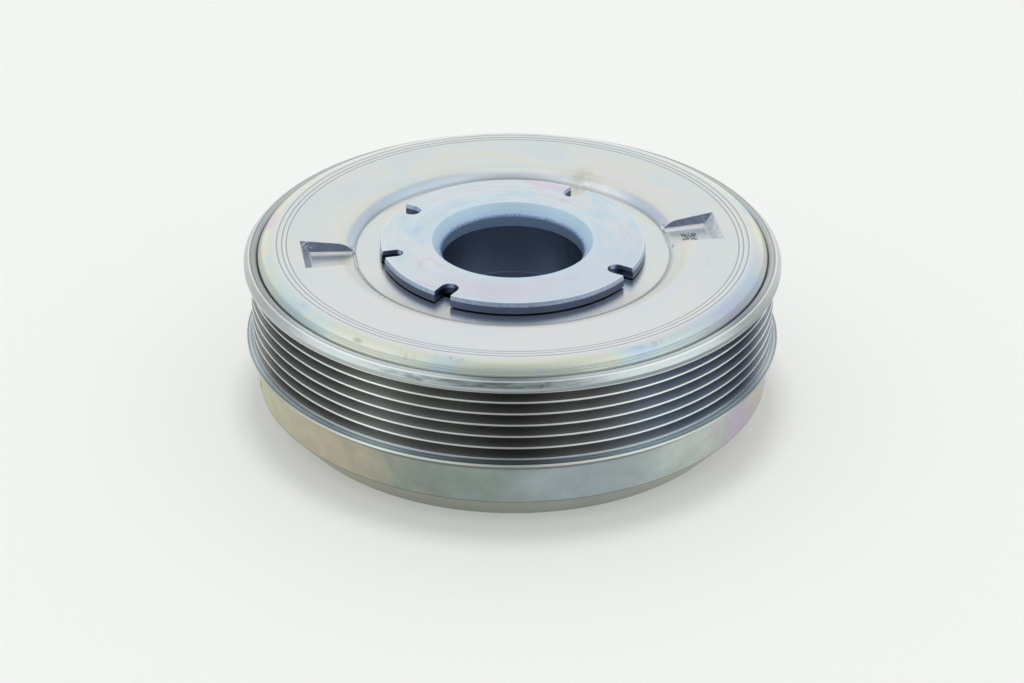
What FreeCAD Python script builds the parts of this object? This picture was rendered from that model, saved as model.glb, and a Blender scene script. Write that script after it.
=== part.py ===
import FreeCAD, Part
import math
import os

import Sketcher
from FreeCAD import Placement, Rotation, Vector

# Crankshaft damper with a decoupled six-rib belt pulley.
# The axis is Z, the nose of the engine points up, and the origin is the centre of the base.
# The hub, the inertia ring and the notched plate turn with the crankshaft.
# The belt pulley, its front cover and its carrier ride on a plain bush round the hub,
# and a rubber ring drives them, so they twist a few degrees against the hub.
# Lengths are in millimetres and angles in degrees.

GROOVES = 6
WIDE_NOTCHES = 4
POCKETS = 2
RIVETS = 4

DIMENSIONS = {
    # belt pulley
    "rib_crest_radius": 75.5,
    "rib_pitch": 3.56,
    "rib_crest_width": 0.5,
    "rib_depth": 3.0,
    "rib_half_angle": 20.0,
    "pulley_wall": 4.0,
    "pulley_shoulder_width": 1.2,
    "rear_lip": 1.65,
    "rear_lip_thickness": 0.8,
    "rear_lip_to_crest": 1.6,
    "pulley_gap": 1.0,
    "front_flange": 1.75,
    "front_flange_edge": 1.37,
    "front_flange_bevel_width": 1.45,
    "front_flange_bevel_height": 1.48,
    "front_flange_land": 1.83,
    "front_flange_slope": 0.55,
    # front cover, measured up from its seat and in from its rim
    "cover_seam": 0.12,
    "cover_seat_depth": 2.3,
    "cover_thickness": 2.2,
    "cover_edge_rise": 2.15,
    "cover_shoulder_width": 5.9,
    "cover_shoulder_bend": 6.1,
    "cover_floor_rise": 1.5,
    "cover_crown_rise": 4.0,
    "cover_foot_width": 4.8,
    "cover_foot_rise": 2.75,
    "cover_foot_bend": 6.4,
    "cover_hole_gap": 3.5,
    "recess_width": 7.0,
    # pressed pockets of the cover
    "pocket_angle": 9.4,
    "pocket_offset": 1.7,
    "pocket_wall_slope": 3.6,
    "pocket_floor_drop": 0.15,
    "pocket_floor_half_angle": 6.2,
    "pocket_mouth_half_angle": 7.9,
    # notched front plate
    "plate_gap": 0.35,
    "plate_thickness": 3.35,
    "plate_overhang": 8.2,
    "plate_edge_width": 0.3,
    "plate_edge_drop": 1.3,
    "plate_bore_lip": 1.5,
    "plate_dish_width": 2.7,
    "plate_dish_depth": 3.5,
    "plate_spigot_length": 3.1,
    "notch_angle": 59.2,
    "notch_width": 5.2,
    "notch_depth": 6.5,
    "small_notch_angle": 195.0,
    "small_notch_width": 3.9,
    "small_notch_depth": 5.9,
    "dowel_radius": 1.5,
    "dowel_depth_in_plate": 2.0,
    "dowel_depth_in_hub": 4.0,
    # hub, from its well outward
    "hub_well_radius": 22.0,
    "spigot_wall": 4.0,
    "hub_front_wall": 4.0,
    "hub_shoulder_width": 6.0,
    "hub_rear_height": 1.5,
    "nose_socket_radius": 16.0,
    "nose_socket_depth": 18.0,
    "nose_socket_bevel": 1.0,
    "bolt_hole_radius": 9.0,
    "bolt_hole_length": 8.3,
    "web_height": 9.0,
    "web_thickness": 6.0,
    "rim_wall": 3.5,
    "rim_rear_height": 2.5,
    # decoupling rubber, carrier and bearing bush, between the hub's boss and its rim
    "decoupler_wall": 9.7,
    "decoupler_rear_gap": 1.0,
    "decoupler_front_gap": 2.6,
    "soft_clearance": 0.3,
    "carrier_wall": 2.55,
    "carrier_web_gap": 4.0,
    "carrier_seat_depth": 9.65,
    "carrier_flange_thickness": 2.5,
    "bush_wall": 1.9,
    "bush_setback": 3.0,
    "bush_flange_thickness": 1.4,
    "bush_clearance": 0.05,
    "thrust_clearance": 0.05,
    # damper rubber and inertia ring
    "damper_wall": 4.0,
    "damper_rear_inset": 3.5,
    "damper_front_inset": 1.5,
    "ring_wall": 16.25,
    "ring_length": 20.2,
    "ring_bevel_width": 7.25,
    "ring_bevel_height": 8.2,
    "ring_rear_bevel": 1.5,
    "timing_mark_angle": 192.5,
    "timing_mark_offset": 1.4,
    "timing_mark_length": 2.8,
    "timing_mark_half_angle": 0.45,
    "timing_mark_depth": 0.8,
    # stop plate, its rivets and buffers
    "stop_plate_gap": 0.65,
    "stop_plate_thickness": 3.2,
    "stop_plate_reach": 5.0,
    "lug_width": 4.0,
    "lug_clearance": 1.15,
    "stop_travel": 15.5,
    "buffer_angle": 3.0,
    "buffer_drop": 0.4,
    "rivet_radius": 1.8,
    "rivet_head_clearance": 0.2,
    "rivet_head_thickness": 1.2,
    "rivet_depth": 5.8,
}


class Size:
    """One length or angle: its number, and the spreadsheet formula that drives it."""

    def __init__(self, number, formula):
        self.number = number
        self.formula = formula

    def joined(self, other, sign, number):
        return Size(number, f"({self.formula} {sign} {as_size(other).formula})")

    def __add__(self, other):
        return self.joined(other, "+", self.number + as_size(other).number)

    def __sub__(self, other):
        return self.joined(other, "-", self.number - as_size(other).number)

    def __mul__(self, other):
        return self.joined(other, "*", self.number * as_size(other).number)

    def __truediv__(self, other):
        return self.joined(other, "/", self.number / as_size(other).number)

    def __neg__(self):
        return Size(-self.number, f"(-{self.formula})")

    def trig(self, name):
        number = getattr(math, name)(math.radians(self.number))
        return Size(number, f"{name}({self.formula} * 1 deg)")


def as_size(value):
    if isinstance(value, Size):
        return value
    return Size(float(value), f"{float(value)}")


document = FreeCAD.newDocument("crankshaft_damper")
sheet = document.addObject("Spreadsheet::Sheet", "sizes")


class Sizes:
    """The named sizes, one attribute for each cell of the sheet."""

    def __init__(self, dimensions):
        for row, (name, number) in enumerate(dimensions.items(), start=1):
            sheet.set(f"A{row}", name)
            sheet.set(f"B{row}", str(number))
            sheet.setAlias(f"B{row}", name)
            setattr(self, name, Size(number, f"sizes.{name}"))


S = Sizes(DIMENSIONS)
document.recompute()

# Radii of the hub and of the rings round it, from the axis outward.
SPIGOT_RADIUS = S.hub_well_radius + S.spigot_wall
HUB_FRONT_RADIUS = SPIGOT_RADIUS + S.hub_front_wall
HUB_BOSS_RADIUS = HUB_FRONT_RADIUS + S.hub_shoulder_width
DECOUPLER_RADIUS = HUB_BOSS_RADIUS + S.decoupler_wall
CARRIER_INNER_RADIUS = DECOUPLER_RADIUS + S.soft_clearance
CARRIER_RADIUS = CARRIER_INNER_RADIUS + S.carrier_wall
BUSH_INNER_RADIUS = CARRIER_RADIUS + S.bush_clearance
RIM_INNER_RADIUS = BUSH_INNER_RADIUS + S.bush_wall
RIM_RADIUS = RIM_INNER_RADIUS + S.rim_wall
RING_INNER_RADIUS = RIM_RADIUS + S.damper_wall
RING_RADIUS = RING_INNER_RADIUS + S.ring_wall

# Radii of the pulley, of its cover and of the plate that stands in the cover's recess.
ROOT_RADIUS = S.rib_crest_radius - S.rib_depth
PULLEY_BORE_RADIUS = ROOT_RADIUS - S.pulley_wall
FLANGE_RADIUS = S.rib_crest_radius + S.front_flange
LAND_OUTER_RADIUS = FLANGE_RADIUS - S.front_flange_bevel_width
LAND_INNER_RADIUS = LAND_OUTER_RADIUS - S.front_flange_land
SEAT_RADIUS = LAND_INNER_RADIUS - S.front_flange_slope
COVER_RADIUS = SEAT_RADIUS - S.cover_seam
CROWN_RADIUS = COVER_RADIUS - S.cover_shoulder_width
PLATE_RADIUS = HUB_FRONT_RADIUS + S.plate_overhang
COVER_HOLE_RADIUS = HUB_FRONT_RADIUS + S.cover_hole_gap
FOOT_RADIUS = PLATE_RADIUS + S.recess_width
RISE_RADIUS = FOOT_RADIUS + S.cover_foot_width
POCKET_FLOOR_RADIUS = (FOOT_RADIUS + CROWN_RADIUS) / 2 + S.pocket_offset
STOP_PLATE_RADIUS = RISE_RADIUS + S.stop_plate_reach
LUG_INNER_RADIUS = STOP_PLATE_RADIUS - S.lug_width

# Heights from the base up: the ring carries the pulley's place, and the pulley the cover's.
RIB_SLOPE = S.rib_half_angle.trig("tan")
HALF_CREST = S.rib_crest_width / 2
HALF_ROOT = S.rib_pitch / 2 - HALF_CREST - S.rib_depth * RIB_SLOPE
PULLEY_REAR = S.ring_length + S.pulley_gap
FIRST_CREST = PULLEY_REAR + S.rear_lip_to_crest
LAST_ROOT = FIRST_CREST + S.rib_pitch * (GROOVES - 0.5) + HALF_ROOT
FLANGE_REAR = LAST_ROOT + (FLANGE_RADIUS - ROOT_RADIUS) * RIB_SLOPE
FLANGE_FRONT = FLANGE_REAR + S.front_flange_edge + S.front_flange_bevel_height
COVER_SEAT = FLANGE_FRONT - S.cover_seat_depth
COVER_EDGE = COVER_SEAT + S.cover_edge_rise
COVER_FLOOR = COVER_SEAT + S.cover_floor_rise
COVER_FOOT_TOP = COVER_FLOOR + S.cover_foot_rise
COVER_CROWN = COVER_FLOOR + S.cover_crown_rise
POCKET_FLOOR = COVER_FLOOR - S.pocket_floor_drop
PLATE_REAR = COVER_FLOOR + S.plate_gap
PLATE_FRONT = PLATE_REAR + S.plate_thickness
PLATE_SEAT = PLATE_REAR - S.plate_spigot_length
WEB_FRONT = S.web_height + S.web_thickness
SOCKET_FRONT = S.hub_rear_height + S.nose_socket_depth
BOLT_SEAT = SOCKET_FRONT + S.bolt_hole_length
CARRIER_REAR = WEB_FRONT + S.carrier_web_gap
CARRIER_FLANGE_REAR = COVER_SEAT - S.carrier_seat_depth
CARRIER_FRONT = CARRIER_FLANGE_REAR + S.carrier_flange_thickness
BUSH_FRONT = CARRIER_FLANGE_REAR - S.thrust_clearance
RIM_FRONT = BUSH_FRONT - S.bush_flange_thickness
STOP_PLATE_REAR = CARRIER_FRONT + S.stop_plate_gap
STOP_PLATE_FRONT = STOP_PLATE_REAR + S.stop_plate_thickness
LUG_HEIGHT = COVER_FOOT_TOP - S.cover_thickness - S.lug_clearance - STOP_PLATE_FRONT

# Places round the axis, and circles that more than one piece shares.
DOWEL_ANGLE = S.notch_angle + 180 / WIDE_NOTCHES
DOWEL_CIRCLE = (SPIGOT_RADIUS + HUB_FRONT_RADIUS) / 2
RIVET_CIRCLE = (HUB_FRONT_RADIUS + HUB_BOSS_RADIUS) / 2
POCKET_WALL_ANGLE = S.cover_thickness / RISE_RADIUS * math.degrees(1)
POCKET_END_ANGLE = S.pocket_mouth_half_angle + POCKET_WALL_ANGLE
LUG_ANGLE = S.pocket_angle + 180 / POCKETS
LUG_HALF_ANGLE = as_size(180 / POCKETS) - POCKET_END_ANGLE - S.stop_travel - S.buffer_angle


def new_body(name):
    body = document.addObject("PartDesign::Body", name)
    body.Label = name
    return body


def new_sketch(body, name, plane="XY_Plane", height=0.0, angle=0.0):
    """A sketch on one of the body's planes, raised by height and turned by angle."""
    origin_plane = next(f for f in body.Origin.OriginFeatures if f.Role == plane)
    sketch = body.newObject("Sketcher::SketchObject", name)
    sketch.AttachmentSupport = [(origin_plane, "")]
    sketch.MapMode = "FlatFace"
    height = as_size(height)
    angle = as_size(angle)
    turn = Rotation(Vector(0, 0, 1), angle.number)
    sketch.AttachmentOffset = Placement(Vector(0, 0, height.number), turn)
    if height.number:
        sketch.setExpression("AttachmentOffset.Base.z", height.formula)
    if angle.number:
        sketch.setExpression("AttachmentOffset.Rotation.Angle", angle.formula)
    return sketch


def point(corner):
    return Vector(as_size(corner[0]).number, as_size(corner[1]).number, 0)


def arc_between(start, end, radius):
    """An arc and whether it runs from start to end; a positive radius bulges to the left."""
    half = (end - start) * 0.5
    left = Vector(-half.y, half.x, 0).normalize()
    side = math.copysign(1.0, radius)
    to_centre = math.sqrt(max(radius * radius - half.Length * half.Length, 0.0))
    centre = start + half - left * (side * to_centre)
    circle = Part.Circle(centre, Vector(0, 0, 1), abs(radius))
    from_start = math.atan2(start.y - centre.y, start.x - centre.x)
    from_end = math.atan2(end.y - centre.y, end.x - centre.x)
    if side < 0:
        return Part.ArcOfCircle(circle, from_start, from_end), True
    return Part.ArcOfCircle(circle, from_end, from_start), False


def place_vertex(sketch, edge, end, corner):
    """Fixes one end of an edge by its distances from the sketch's origin."""
    for kind, axis, value in (("DistanceX", -2, corner[0]), ("DistanceY", -1, corner[1])):
        size = as_size(value)
        if abs(size.number) < 1e-9:
            sketch.addConstraint(Sketcher.Constraint("PointOnObject", edge, end, axis))
            continue
        if size.number > 0:
            ends = (-1, 1, edge, end)
        else:
            ends = (edge, end, -1, 1)
            size = -size
        index = sketch.addConstraint(Sketcher.Constraint(kind, *ends, size.number))
        sketch.setExpression(f"Constraints[{index}]", size.formula)


def draw_outline(sketch, corners, arcs=None):
    """A closed outline through the corners; arcs gives the radius of edge i, signed by its side."""
    arcs = arcs or {}
    count = len(corners)
    ends = [(1, 2)] * count
    for i in range(count):
        start, end = point(corners[i]), point(corners[(i + 1) % count])
        if i not in arcs:
            sketch.addGeometry(Part.LineSegment(start, end), False)
            continue
        arc, forward = arc_between(start, end, as_size(arcs[i]).number)
        sketch.addGeometry(arc, False)
        if not forward:
            ends[i] = (2, 1)
    for i in range(count):
        following = (i + 1) % count
        joint = Sketcher.Constraint("Coincident", i, ends[i][1], following, ends[following][0])
        sketch.addConstraint(joint)
    for i in range(count):
        place_vertex(sketch, i, ends[i][0], corners[i])
    for i, value in arcs.items():
        bend_arc(sketch, i, as_size(value), point(corners[i]), point(corners[(i + 1) % count]))
    return sketch


def bend_arc(sketch, edge, radius, start, end):
    """Fixes an arc by its radius, or a half circle by its centre beside its ends."""
    if abs(radius.number) * 2 - start.distanceToPoint(end) < 1e-6:
        sketch.addConstraint(Sketcher.Constraint("Vertical", edge, 3, edge, 1))
        return
    if radius.number < 0:
        radius = -radius
    index = sketch.addConstraint(Sketcher.Constraint("Radius", edge, radius.number))
    sketch.setExpression(f"Constraints[{index}]", radius.formula)


def turned(body, name, corners):
    """A full turn of a section drawn as radius across and height up."""
    sketch = draw_outline(new_sketch(body, f"{name}_section", "XZ_Plane"), corners)
    turn = body.newObject("PartDesign::Revolution", f"{name}_turn")
    turn.Profile = sketch
    turn.ReferenceAxis = (sketch, ["V_Axis"])
    turn.Angle = 360
    return turn


def turned_cut(body, name, corners, arcs):
    sketch = draw_outline(new_sketch(body, f"{name}_section", "XZ_Plane"), corners, arcs)
    cut = body.newObject("PartDesign::Groove", f"{name}_groove")
    cut.Profile = sketch
    cut.ReferenceAxis = (sketch, ["V_Axis"])
    cut.Angle = 360
    return cut


def extruded(body, kind, name, sketch, length, upward=True):
    """A Pad or a Pocket of a sketch by a length, upward or downward."""
    feature = body.newObject(f"PartDesign::{kind}", name)
    feature.Profile = sketch
    feature.Length = length.number
    feature.setExpression("Length", length.formula)
    feature.Reversed = upward == (kind == "Pocket")
    return feature


def lofted(body, kind, name, lower, upper):
    feature = body.newObject(f"PartDesign::{kind}Loft", name)
    feature.Profile = lower
    feature.Sections = [upper]
    feature.Ruled = True
    return feature


def ring_of(body, name, feature, sketch, count):
    """The same feature repeated round the axis."""
    pattern = body.newObject("PartDesign::PolarPattern", name)
    pattern.Originals = [feature]
    pattern.Axis = (sketch, ["N_Axis"])
    pattern.Angle = 360
    pattern.Occurrences = count
    body.Tip = pattern
    return pattern


def polar(radius, angle):
    return (radius * angle.trig("cos"), radius * angle.trig("sin"))


def wedge(inner, outer, half_angle):
    """Four corners symmetric about the sketch's X axis, with straight ends."""
    return [
        polar(inner, -half_angle),
        polar(outer, -half_angle),
        polar(outer, half_angle),
        polar(inner, half_angle),
    ]


def ring_section(inner, outer, rear, front):
    return [(inner, rear), (outer, rear), (outer, front), (inner, front)]


def make_belt_pulley():
    """The rim: six belt grooves between a bevelled front flange and a thin rear lip."""
    body = new_body("belt_pulley")
    shoulder_radius = PULLEY_BORE_RADIUS - S.pulley_shoulder_width
    lip_radius = S.rib_crest_radius + S.rear_lip
    corners = [
        (shoulder_radius, PULLEY_REAR),
        (lip_radius, PULLEY_REAR),
        (lip_radius, PULLEY_REAR + S.rear_lip_thickness),
        (S.rib_crest_radius, FIRST_CREST - HALF_CREST),
    ]
    for i in range(GROOVES):
        crest = FIRST_CREST + S.rib_pitch * i
        root = crest + S.rib_pitch / 2
        corners.append((S.rib_crest_radius, crest + HALF_CREST))
        corners.append((ROOT_RADIUS, root - HALF_ROOT))
        corners.append((ROOT_RADIUS, root + HALF_ROOT))
        if i < GROOVES - 1:
            corners.append((S.rib_crest_radius, crest + S.rib_pitch - HALF_CREST))
    corners += [
        (FLANGE_RADIUS, FLANGE_REAR),
        (FLANGE_RADIUS, FLANGE_REAR + S.front_flange_edge),
        (LAND_OUTER_RADIUS, FLANGE_FRONT),
        (LAND_INNER_RADIUS, FLANGE_FRONT),
        (SEAT_RADIUS, FLANGE_FRONT - S.front_flange_slope),
        (SEAT_RADIUS, COVER_SEAT),
        (PULLEY_BORE_RADIUS, COVER_SEAT),
        (PULLEY_BORE_RADIUS, CARRIER_FLANGE_REAR),
        (shoulder_radius, CARRIER_FLANGE_REAR),
    ]
    turned(body, "pulley", corners)
    return body


def cover_top():
    """The top line of the pressed cover, from its hole to its rim."""
    return [
        (COVER_HOLE_RADIUS, COVER_FLOOR),
        (FOOT_RADIUS, COVER_FLOOR),
        (RISE_RADIUS, COVER_FOOT_TOP),
        (CROWN_RADIUS, COVER_CROWN),
        (COVER_RADIUS, COVER_EDGE),
    ]


def cover_underside():
    """The lower line of the cover, one sheet thickness inside the top line, from rim to hole."""
    wall = S.cover_thickness
    return [
        (COVER_RADIUS, COVER_SEAT),
        (COVER_RADIUS - wall, COVER_SEAT),
        (COVER_RADIUS - wall, COVER_EDGE),
        (CROWN_RADIUS, COVER_CROWN - wall),
        (RISE_RADIUS, COVER_FOOT_TOP - wall),
        (FOOT_RADIUS + wall / 2, COVER_FLOOR - wall),
        (COVER_HOLE_RADIUS, COVER_FLOOR - wall),
    ]


def pocket_wedge(height, inner, wall=0, wall_angle=0):
    """The pocket's plan at a height: it widens from its floor to its mouth."""
    rise = (height - POCKET_FLOOR) / (COVER_CROWN - POCKET_FLOOR)
    outer = POCKET_FLOOR_RADIUS + S.pocket_wall_slope * rise
    spread = (S.pocket_mouth_half_angle - S.pocket_floor_half_angle) * rise
    return wedge(inner, outer + wall, S.pocket_floor_half_angle + spread + wall_angle)


def pocket_sketch(body, name, height, inner, wall=0, wall_angle=0):
    sketch = new_sketch(body, name, height=height, angle=S.pocket_angle)
    return draw_outline(sketch, pocket_wedge(height, inner, wall, wall_angle))


def make_front_cover():
    """Pressed sheet: a sunk floor, a crowned ring and two sunk pockets opposite each other."""
    body = new_body("front_cover")
    wall = S.cover_thickness
    raw_top = COVER_CROWN + wall
    blank = cover_underside() + [(COVER_HOLE_RADIUS, raw_top), (COVER_RADIUS, raw_top)]
    turned(body, "blank", blank)

    inner = FOOT_RADIUS - wall / 2
    lower = pocket_sketch(body, "shell_floor", POCKET_FLOOR - wall, inner, wall, POCKET_WALL_ANGLE)
    upper = pocket_sketch(body, "shell_mouth", COVER_CROWN, inner, wall, POCKET_WALL_ANGLE)
    shell = lofted(body, "Additive", "pocket_shell", lower, upper)
    ring_of(body, "pocket_shells", shell, lower, POCKETS)

    spare = raw_top + wall
    top_cut = cover_top() + [
        (COVER_RADIUS + wall, COVER_EDGE),
        (COVER_RADIUS + wall, spare),
        (COVER_HOLE_RADIUS - wall, spare),
        (COVER_HOLE_RADIUS - wall, COVER_FLOOR),
    ]
    turned_cut(body, "crown", top_cut, {1: S.cover_foot_bend, 3: S.cover_shoulder_bend})

    floor = pocket_sketch(body, "pocket_floor", POCKET_FLOOR, FOOT_RADIUS)
    mouth = pocket_sketch(body, "pocket_mouth", raw_top, FOOT_RADIUS)
    pocket = lofted(body, "Subtractive", "pocket", floor, mouth)
    ring_of(body, "pockets", pocket, floor, POCKETS)
    return body


def make_front_plate():
    """The notched plate: a spigot below, a dished bore and slots open at its edge."""
    body = new_body("front_plate")
    bore = S.hub_well_radius - S.plate_bore_lip
    turned(body, "plate", [
        (bore, PLATE_SEAT),
        (SPIGOT_RADIUS, PLATE_SEAT),
        (SPIGOT_RADIUS, PLATE_REAR),
        (PLATE_RADIUS, PLATE_REAR),
        (PLATE_RADIUS, PLATE_FRONT - S.plate_edge_drop),
        (PLATE_RADIUS - S.plate_edge_width, PLATE_FRONT),
        (bore + S.plate_dish_width, PLATE_FRONT),
        (bore, PLATE_FRONT - S.plate_dish_depth),
    ])
    notch(body, "small_notch", S.small_notch_angle, S.small_notch_width, S.small_notch_depth)
    wide, sketch = notch(body, "wide_notch", S.notch_angle, S.notch_width, S.notch_depth)
    ring_of(body, "wide_notches", wide, sketch, WIDE_NOTCHES)
    dowel_hole(body, S.dowel_depth_in_plate, upward=True)
    return body


def notch(body, name, angle, width, depth):
    """A slot with a round root, open at the plate's edge and cut right through."""
    sketch = new_sketch(body, f"{name}_section", height=PLATE_REAR, angle=angle)
    half = width / 2
    centre = PLATE_RADIUS - depth + half
    outside = PLATE_RADIUS + half
    corners = [(centre, -half), (outside, -half), (outside, half), (centre, half)]
    draw_outline(sketch, corners, {3: -half})
    return extruded(body, "Pocket", name, sketch, S.plate_thickness), sketch


def circle_at(sketch, across, radius):
    """A circle centred on the sketch's X axis."""
    centre = Vector(across.number, 0, 0)
    sketch.addGeometry(Part.Circle(centre, Vector(0, 0, 1), radius.number), False)
    place_vertex(sketch, 0, 3, (across, 0))
    index = sketch.addConstraint(Sketcher.Constraint("Radius", 0, radius.number))
    sketch.setExpression(f"Constraints[{index}]", radius.formula)


def dowel_hole(body, depth, upward):
    """A hole for the dowel, from the face where the plate and the hub meet."""
    sketch = new_sketch(body, "dowel_hole_section", height=PLATE_REAR, angle=DOWEL_ANGLE)
    circle_at(sketch, DOWEL_CIRCLE, S.dowel_radius)
    extruded(body, "Pocket", "dowel_hole", sketch, depth, upward)


def make_plate_dowel():
    """The pin that holds the notches in their place on the hub."""
    body = new_body("plate_dowel")
    bottom = PLATE_REAR - S.dowel_depth_in_hub
    sketch = new_sketch(body, "dowel_section", height=bottom, angle=DOWEL_ANGLE)
    circle_at(sketch, DOWEL_CIRCLE, S.dowel_radius)
    extruded(body, "Pad", "dowel", sketch, S.dowel_depth_in_hub + S.dowel_depth_in_plate)
    return body


def make_crank_hub():
    """The hub: a well for the crankshaft bolt, a socket for its nose, a web and a rim."""
    body = new_body("crank_hub")
    bevel = S.nose_socket_bevel
    turned(body, "hub", [
        (S.nose_socket_radius + bevel, S.hub_rear_height),
        (HUB_BOSS_RADIUS, S.hub_rear_height),
        (HUB_BOSS_RADIUS, S.web_height),
        (RIM_INNER_RADIUS, S.web_height),
        (RIM_INNER_RADIUS, S.rim_rear_height),
        (RIM_RADIUS, S.rim_rear_height),
        (RIM_RADIUS, RIM_FRONT),
        (RIM_INNER_RADIUS, RIM_FRONT),
        (RIM_INNER_RADIUS, WEB_FRONT),
        (HUB_BOSS_RADIUS, WEB_FRONT),
        (HUB_BOSS_RADIUS, STOP_PLATE_REAR),
        (HUB_FRONT_RADIUS, STOP_PLATE_REAR),
        (HUB_FRONT_RADIUS, PLATE_REAR),
        (SPIGOT_RADIUS, PLATE_REAR),
        (SPIGOT_RADIUS, PLATE_SEAT),
        (S.hub_well_radius, PLATE_SEAT),
        (S.hub_well_radius, BOLT_SEAT),
        (S.bolt_hole_radius, BOLT_SEAT),
        (S.bolt_hole_radius, SOCKET_FRONT),
        (S.nose_socket_radius, SOCKET_FRONT),
        (S.nose_socket_radius, S.hub_rear_height + bevel),
    ])
    dowel_hole(body, S.dowel_depth_in_hub, upward=False)
    rivet_holes(body, S.rivet_depth, upward=False)
    return body


def rivet_holes(body, depth, upward):
    """A ring of rivet holes, from the face where the stop plate and the hub meet."""
    sketch = new_sketch(body, "rivet_hole_section", height=STOP_PLATE_REAR)
    circle_at(sketch, RIVET_CIRCLE, S.rivet_radius)
    hole = extruded(body, "Pocket", "rivet_hole", sketch, depth, upward)
    ring_of(body, "rivet_holes", hole, sketch, RIVETS)


def make_inertia_ring():
    """The heavy ring behind the pulley, bevelled at the rear, with one small timing mark."""
    body = new_body("inertia_ring")
    turned(body, "ring", [
        (RING_INNER_RADIUS + S.ring_rear_bevel, 0),
        (RING_RADIUS - S.ring_bevel_width, 0),
        (RING_RADIUS, S.ring_bevel_height),
        (RING_RADIUS, S.ring_length),
        (RING_INNER_RADIUS, S.ring_length),
        (RING_INNER_RADIUS, S.ring_rear_bevel),
    ])
    bottom = S.ring_bevel_height + S.timing_mark_offset
    sketch = new_sketch(body, "mark_section", height=bottom, angle=S.timing_mark_angle)
    inside = RING_RADIUS - S.timing_mark_depth
    outside = RING_RADIUS + S.timing_mark_depth
    draw_outline(sketch, wedge(inside, outside, S.timing_mark_half_angle))
    extruded(body, "Pocket", "timing_mark", sketch, S.timing_mark_length)
    return body


def make_damper_rubber():
    """The rubber bonded between the hub's rim and the inertia ring."""
    body = new_body("damper_rubber")
    front = S.ring_length - S.damper_front_inset
    turned(body, "rubber", ring_section(RIM_RADIUS, RING_INNER_RADIUS, S.damper_rear_inset, front))
    return body


def make_bearing_bush():
    """A flanged plain bush pressed into the hub's rim."""
    body = new_body("bearing_bush")
    rear = CARRIER_REAR + S.bush_setback
    turned(body, "bush", [
        (BUSH_INNER_RADIUS, rear),
        (RIM_INNER_RADIUS, rear),
        (RIM_INNER_RADIUS, RIM_FRONT),
        (RIM_RADIUS, RIM_FRONT),
        (RIM_RADIUS, BUSH_FRONT),
        (BUSH_INNER_RADIUS, BUSH_FRONT),
    ])
    return body


def make_pulley_carrier():
    """The flanged sleeve that carries the pulley rim and turns in the bush."""
    body = new_body("pulley_carrier")
    turned(body, "carrier", [
        (CARRIER_INNER_RADIUS, CARRIER_REAR),
        (CARRIER_RADIUS, CARRIER_REAR),
        (CARRIER_RADIUS, CARRIER_FLANGE_REAR),
        (PULLEY_BORE_RADIUS, CARRIER_FLANGE_REAR),
        (PULLEY_BORE_RADIUS, CARRIER_FRONT),
        (CARRIER_INNER_RADIUS, CARRIER_FRONT),
    ])
    return body


def make_decoupler_rubber():
    """The rubber ring that drives the carrier from the hub's boss."""
    body = new_body("decoupler_rubber")
    rear = CARRIER_REAR + S.decoupler_rear_gap
    front = STOP_PLATE_REAR - S.decoupler_front_gap
    turned(body, "rubber", ring_section(HUB_BOSS_RADIUS, DECOUPLER_RADIUS, rear, front))
    return body


def arc_band(sketch, inner, outer, half_angle):
    """A band of a ring, with round long sides, symmetric about the sketch's X axis."""
    return draw_outline(sketch, wedge(inner, outer, half_angle), {1: -outer, 3: inner})


def make_stop_plate():
    """A ring on the hub with two arc lugs that end the twist against the pockets."""
    body = new_body("stop_plate")
    turned(body, "plate", ring_section(
        HUB_FRONT_RADIUS, STOP_PLATE_RADIUS, STOP_PLATE_REAR, STOP_PLATE_FRONT))
    sketch = new_sketch(body, "lug_section", height=STOP_PLATE_FRONT, angle=LUG_ANGLE)
    arc_band(sketch, LUG_INNER_RADIUS, STOP_PLATE_RADIUS, LUG_HALF_ANGLE)
    lug = extruded(body, "Pad", "lug", sketch, LUG_HEIGHT)
    ring_of(body, "lugs", lug, sketch, POCKETS)
    rivet_holes(body, S.stop_plate_thickness, upward=True)
    return body


def make_stop_buffers():
    """A rubber pad on each end of each lug."""
    pads = []
    for lug in range(POCKETS):
        for side in (1, -1):
            middle = LUG_ANGLE + 360 / POCKETS * lug
            angle = middle + (LUG_HALF_ANGLE + S.buffer_angle / 2) * side
            pads.append(make_stop_buffer(len(pads) + 1, angle))
    return pads


def make_stop_buffer(number, angle):
    body = new_body(f"stop_buffer_{number}")
    sketch = new_sketch(body, "buffer_section", height=STOP_PLATE_FRONT, angle=angle)
    draw_outline(sketch, wedge(LUG_INNER_RADIUS, STOP_PLATE_RADIUS, S.buffer_angle / 2))
    extruded(body, "Pad", "buffer", sketch, LUG_HEIGHT - S.buffer_drop)
    return body


def make_stop_rivets():
    """Four rivets that hold the stop plate on the hub's shoulder."""
    head_radius = S.hub_shoulder_width / 2 - S.rivet_head_clearance
    shank_bottom = STOP_PLATE_REAR - S.rivet_depth
    shank_length = S.rivet_depth + S.stop_plate_thickness
    parts = []
    for i in range(RIVETS):
        place = polar(RIVET_CIRCLE, as_size(360 / RIVETS * i))
        parts.append(upright_cylinder(
            f"rivet_shank_{i}", place, shank_bottom, S.rivet_radius, shank_length))
        parts.append(upright_cylinder(
            f"rivet_head_{i}", place, STOP_PLATE_FRONT, head_radius, S.rivet_head_thickness))
    group = document.addObject("Part::MultiFuse", "stop_rivets")
    group.Label = "stop_rivets"
    group.Shapes = parts
    return group


def upright_cylinder(name, place, bottom, radius, height):
    cylinder = document.addObject("Part::Cylinder", name)
    cylinder.setExpression("Radius", radius.formula)
    cylinder.setExpression("Height", height.formula)
    for axis, size in (("x", place[0]), ("y", place[1]), ("z", bottom)):
        cylinder.setExpression(f"Placement.Base.{axis}", size.formula)
    return cylinder


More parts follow.
